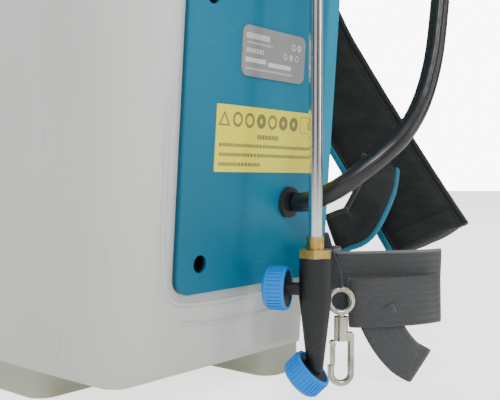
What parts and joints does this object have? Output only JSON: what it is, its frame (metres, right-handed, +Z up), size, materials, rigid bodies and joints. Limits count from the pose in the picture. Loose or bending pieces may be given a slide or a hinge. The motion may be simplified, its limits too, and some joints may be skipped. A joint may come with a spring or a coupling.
{
  "type": "backpack sprayer",
  "caption": "Backpack sprayer with a moulded tank, a side pump cover, a battery bay, a clipped lance with twin capped nozzles, a trigger grip, a hose and a padded harness.",
  "frame": {"origin": "on the ground under the middle of the tank", "axes": "+Z up, +Y towards the wearer's back, +X out of the side that carries the pump cover"},
  "size_m": [0.4504, 0.3047, 0.6984],
  "materials": {
    "tank_plastic": "milky natural polyethylene, satin",
    "teal_plastic": "teal moulded plastic, satin with fine grain",
    "black_plastic": "black glass-filled plastic",
    "blue_plastic": "bright blue moulded plastic",
    "red_plastic": "red moulded plastic",
    "filter_plastic": "dark blue mesh plastic",
    "seal_rubber": "black rubber",
    "hose_rubber": "smooth black hose",
    "steel": "zinc plated steel",
    "polished_steel": "polished stainless tube",
    "nickel": "nickel plated die casting",
    "brass": "turned brass",
    "pump_metal": "die-cast pump housing",
    "board": "green circuit board",
    "wire_red": "insulated cable",
    "plate_grey": "blank grey foil plate",
    "label_yellow": null,
    "pad_fabric": "black padded fabric with mesh",
    "belt_webbing": "dark grey woven webbing",
    "strap_webbing": "black woven webbing"
  },
  "bodies": {
    "sprayer": {"tank": "tank_plastic", "side_cover": "teal_plastic", "cover_gasket": "seal_rubber", "cover_screws": "steel", "rating_plate": "plate_grey", "warning_label": "label_yellow", "hose_grommet": "seal_rubber", "pump_head": "black_plastic", "pump_body": "pump_metal", "diaphragm": "seal_rubber", "motor": "steel", "pressure_switch": "black_plastic", "inlet_filter": "filter_plastic", "outlet_tube": "hose_rubber", "control_board": "board", "wiring": "wire_red", "battery_housing": "black_plastic", "battery_terminals": "brass", "door_pin": "steel", "strainer": "filter_plastic", "carry_handle": "black_plastic", "handle_screws": "steel", "lance_clip_lower": "black_plastic", "lance_clip_upper": "black_plastic", "hose_hook": "black_plastic", "lance_tube": "polished_steel", "lance_fitting": "brass", "grip_left": "black_plastic", "grip_right": "black_plastic", "grip_screws": "steel", "trigger_valve": "brass", "trigger_pin": "steel", "hose_nut": "black_plastic", "hose": "hose_rubber", "back_pad": "pad_fabric", "shoulder_strap_left": "pad_fabric", "shoulder_strap_right": "pad_fabric", "waist_belt_left": "belt_webbing", "waist_belt_right": "belt_webbing", "hook_strap": "strap_webbing", "hook_eye": "nickel"},
    "pump_shaft": {"drive_shaft": "steel"},
    "button": {"power_button": "red_plastic"},
    "dial": {"pressure_dial": "black_plastic"},
    "battery": {"battery_pack": "black_plastic"},
    "door": {"battery_door": "teal_plastic"},
    "latch": {"door_latch": "black_plastic"},
    "cap_seal": {"cap_gasket": "seal_rubber"},
    "cap": {"filler_cap": "teal_plastic", "vent_valve": "seal_rubber"},
    "drain": {"drain_cap": "black_plastic"},
    "nozzle": {"nozzle_body": "black_plastic", "nozzle_tips": "steel"},
    "side_cap": {"nozzle_cap_side": "blue_plastic"},
    "end_cap": {"nozzle_cap_end": "blue_plastic"},
    "trigger": {"trigger_lever": "teal_plastic"},
    "stem": {"valve_stem": "steel"},
    "lock": {"trigger_lock": "red_plastic"},
    "hook": {"snap_hook": "nickel"},
    "gate": {"hook_gate": "nickel"}
  },
  "joints": [
    {"name": "pump_spin", "type": "hinge", "parent": "sprayer", "child": "pump_shaft", "pos_m": [0.112, 0, 0.15], "axis": [0, 0, 1], "continuous": true},
    {"name": "button_press", "type": "slide", "parent": "sprayer", "child": "button", "axis": [-0.9973, 0, 0.0732], "range_m": [0, 0.002], "stiffness_N_per_m": 400},
    {"name": "dial_turn", "type": "hinge", "parent": "sprayer", "child": "dial", "pos_m": [0.16188, 0.046, 0.318], "axis": [0.9973, 0, -0.0732], "range_deg": [-135, 135]},
    {"name": "battery_slide", "type": "slide", "parent": "sprayer", "child": "battery", "axis": [0, 0, 1], "range_m": [0, 0.02]},
    {"name": "door_swing", "type": "hinge", "parent": "sprayer", "child": "door", "pos_m": [0.13, -0.095, 0.334], "axis": [0, 0, 1], "range_deg": [0, 100]},
    {"name": "latch_turn", "type": "hinge", "parent": "door", "child": "latch", "pos_m": [0.041, -0.096, 0.334], "axis": [0, 1, 0], "range_deg": [0, 90]},
    {"name": "cap_turn", "type": "hinge", "parent": "cap_seal", "child": "cap", "pos_m": [-0.05, 0, 0.455], "axis": [0, 0, 1], "range_deg": [0, 360]},
    {"name": "cap_lift", "type": "slide", "parent": "sprayer", "child": "cap_seal", "axis": [0, 0, 1], "range_m": [0, 0.0081]},
    {"name": "drain_turn", "type": "hinge", "parent": "sprayer", "child": "drain", "pos_m": [-0.15108, 0.02, 0.062], "axis": [-1, 0, 0], "range_deg": [0, 360]},
    {"name": "nozzle_swivel", "type": "hinge", "parent": "sprayer", "child": "nozzle", "pos_m": [0.18761, 0.0196, 0.06], "axis": [0, 0, 1], "range_deg": [-30, 120]},
    {"name": "side_cap_turn", "type": "hinge", "parent": "nozzle", "child": "side_cap", "pos_m": [0.17288, 0.01335, 0.0662], "axis": [-0.9205, -0.3907, 0], "range_deg": [0, 360]},
    {"name": "end_cap_turn", "type": "hinge", "parent": "nozzle", "child": "end_cap", "pos_m": [0.18687, 0.01929, 0.0215], "axis": [-0.6509, -0.2763, -0.7071], "range_deg": [0, 360]},
    {"name": "trigger_pull", "type": "hinge", "parent": "sprayer", "child": "trigger", "pos_m": [0.18761, 0.0076, 0.448], "axis": [-1, 0, 0], "range_deg": [0, 5.2], "stiffness_Nm_per_rad": 5},
    {"name": "stem_push", "type": "slide", "parent": "sprayer", "child": "stem", "axis": [0, 1, 0], "range_m": [0, 0.0041]},
    {"name": "lock_swing", "type": "hinge", "parent": "sprayer", "child": "lock", "pos_m": [0.20361, 0.0156, 0.58], "axis": [-1, 0, 0], "range_deg": [0, 60]},
    {"name": "hook_swivel", "type": "hinge", "parent": "sprayer", "child": "hook", "pos_m": [0.186, 0.049, 0.04], "axis": [0, 0, 1], "continuous": true},
    {"name": "gate_open", "type": "hinge", "parent": "hook", "child": "gate", "pos_m": [0.18217, 0.04579, 0.03], "axis": [0.6428, -0.766, 0], "range_deg": [0, 22], "stiffness_Nm_per_rad": 0.02}
  ],
  "couplings": [
    {"joint": "cap_lift", "follows": "cap_turn", "m_per_rad": 0.0012732},
    {"joint": "stem_push", "follows": "trigger_pull", "m_per_rad": 0.044}
  ]
}
